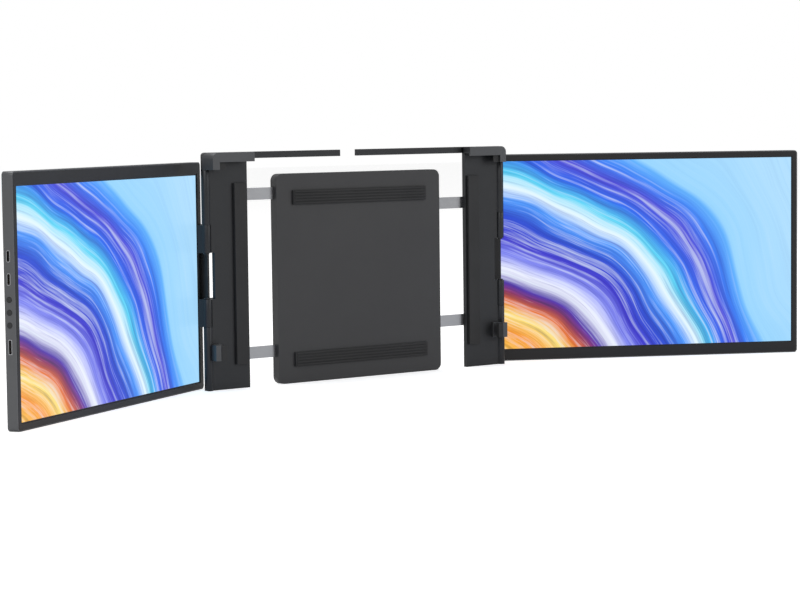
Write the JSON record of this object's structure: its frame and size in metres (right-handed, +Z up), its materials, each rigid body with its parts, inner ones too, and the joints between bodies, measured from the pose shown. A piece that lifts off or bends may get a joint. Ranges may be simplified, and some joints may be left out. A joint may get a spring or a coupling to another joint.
{
  "type": "laptop screen extender",
  "caption": "Laptop screen extender: flat portable monitors hinged at both ends of a sliding bracket that grips a laptop lid, with a folding kickstand behind.",
  "frame": {"origin": "midway between the two hinge axes, in their plane, at the height of the bottom edges: a point on the centre frame's bottom face", "axes": "+X to the right as the user sees the screens, +Y away from the user, +Z up along the hinge axes"},
  "size_m": [0.8261, 0.1544, 0.195],
  "materials": {
    "shell_metal": "satin grey anodised",
    "bezel_plastic": "fine matte",
    "screen": "matte glass over a lit picture",
    "light_tray": "matte",
    "circuit_board": "solder mask",
    "bright_steel": "brushed",
    "black_steel": "blackened",
    "button_plastic": "satin",
    "black_plastic": "fine matte",
    "guide_plastic": "smooth",
    "ribbon_film": "smooth film",
    "bracket_metal": "dark anodised",
    "hook_metal": "grey anodised",
    "bar_metal": "brushed",
    "grip_rubber": "matte"
  },
  "bodies": {
    "centre": {"centre_frame": "black_plastic", "centre_cover": "black_plastic", "cover_screws": "black_steel", "slide_guides": "guide_plastic", "lid_pads": "grip_rubber", "kickstand_pins": "bright_steel"},
    "kickstand": {"kickstand": "hook_metal", "kickstand_foot": "grip_rubber"},
    "left_bracket": {"left_bracket": "bracket_metal", "left_corner_hook": "hook_metal", "left_lower_clip": "hook_metal", "left_grip_pads": "grip_rubber", "left_slide_bars": "bar_metal", "left_bracket_screws": "black_steel", "left_hinge_pins": "bright_steel", "left_hinge_washers": "bright_steel"},
    "left_monitor": {"left_rear_cover": "shell_metal", "left_bezel": "bezel_plastic", "left_display_panel": "screen", "left_backlight": "light_tray", "left_driver_board": "circuit_board", "left_usb_c_ports": "bright_steel", "left_mini_hdmi_port": "bright_steel", "left_button_switches": "black_plastic", "left_panel_ribbon": "ribbon_film", "left_case_screws": "black_steel", "left_hinge_arm": "bracket_metal", "left_arm_screws": "black_steel"},
    "left_power_button": {"left_power_button": "button_plastic"},
    "left_up_button": {"left_up_button": "button_plastic"},
    "left_down_button": {"left_down_button": "button_plastic"},
    "right_bracket": {"right_bracket": "bracket_metal", "right_corner_hook": "hook_metal", "right_lower_clip": "hook_metal", "right_grip_pads": "grip_rubber", "right_slide_bars": "bar_metal", "right_bracket_screws": "black_steel", "right_hinge_pins": "bright_steel", "right_hinge_washers": "bright_steel"},
    "right_monitor": {"right_rear_cover": "shell_metal", "right_bezel": "bezel_plastic", "right_display_panel": "screen", "right_backlight": "light_tray", "right_driver_board": "circuit_board", "right_usb_c_ports": "bright_steel", "right_mini_hdmi_port": "bright_steel", "right_button_switches": "black_plastic", "right_panel_ribbon": "ribbon_film", "right_case_screws": "black_steel", "right_hinge_arm": "bracket_metal", "right_arm_screws": "black_steel"},
    "right_power_button": {"right_power_button": "button_plastic"},
    "right_up_button": {"right_up_button": "button_plastic"},
    "right_down_button": {"right_down_button": "button_plastic"}
  },
  "joints": [
    {"name": "kickstand_hinge", "type": "hinge", "parent": "centre", "child": "kickstand", "pos_m": [0, 0.0106, 0.118], "axis": [1, 0, 0], "range_deg": [0, 90]},
    {"name": "left_slide", "type": "slide", "parent": "centre", "child": "left_bracket", "axis": [-1, 0, 0], "range_m": [-0.008, 0.038]},
    {"name": "left_hinge", "type": "hinge", "parent": "left_bracket", "child": "left_monitor", "pos_m": [-0.155, 0, 0], "axis": [0, 0, 1], "range_deg": [-30, 150]},
    {"name": "left_power_button_press", "type": "slide", "parent": "left_monitor", "child": "left_power_button", "axis": [0.866, 0.5, 0], "range_m": [0, 0.0005], "stiffness_N_per_m": 600, "springref_m": -0.0005},
    {"name": "left_up_button_press", "type": "slide", "parent": "left_monitor", "child": "left_up_button", "axis": [0.866, 0.5, 0], "range_m": [0, 0.0005], "stiffness_N_per_m": 600, "springref_m": -0.0005},
    {"name": "left_down_button_press", "type": "slide", "parent": "left_monitor", "child": "left_down_button", "axis": [0.866, 0.5, 0], "range_m": [0, 0.0005], "stiffness_N_per_m": 600, "springref_m": -0.0005},
    {"name": "right_slide", "type": "slide", "parent": "centre", "child": "right_bracket", "axis": [1, 0, 0], "range_m": [-0.008, 0.038]},
    {"name": "right_hinge", "type": "hinge", "parent": "right_bracket", "child": "right_monitor", "pos_m": [0.155, 0, 0], "axis": [0, 0, -1], "range_deg": [-27, 153]},
    {"name": "right_power_button_press", "type": "slide", "parent": "right_monitor", "child": "right_power_button", "axis": [-0.891, 0.454, 0], "range_m": [0, 0.0005], "stiffness_N_per_m": 600, "springref_m": -0.0005},
    {"name": "right_up_button_press", "type": "slide", "parent": "right_monitor", "child": "right_up_button", "axis": [-0.891, 0.454, 0], "range_m": [0, 0.0005], "stiffness_N_per_m": 600, "springref_m": -0.0005},
    {"name": "right_down_button_press", "type": "slide", "parent": "right_monitor", "child": "right_down_button", "axis": [-0.891, 0.454, 0], "range_m": [0, 0.0005], "stiffness_N_per_m": 600, "springref_m": -0.0005}
  ]
}
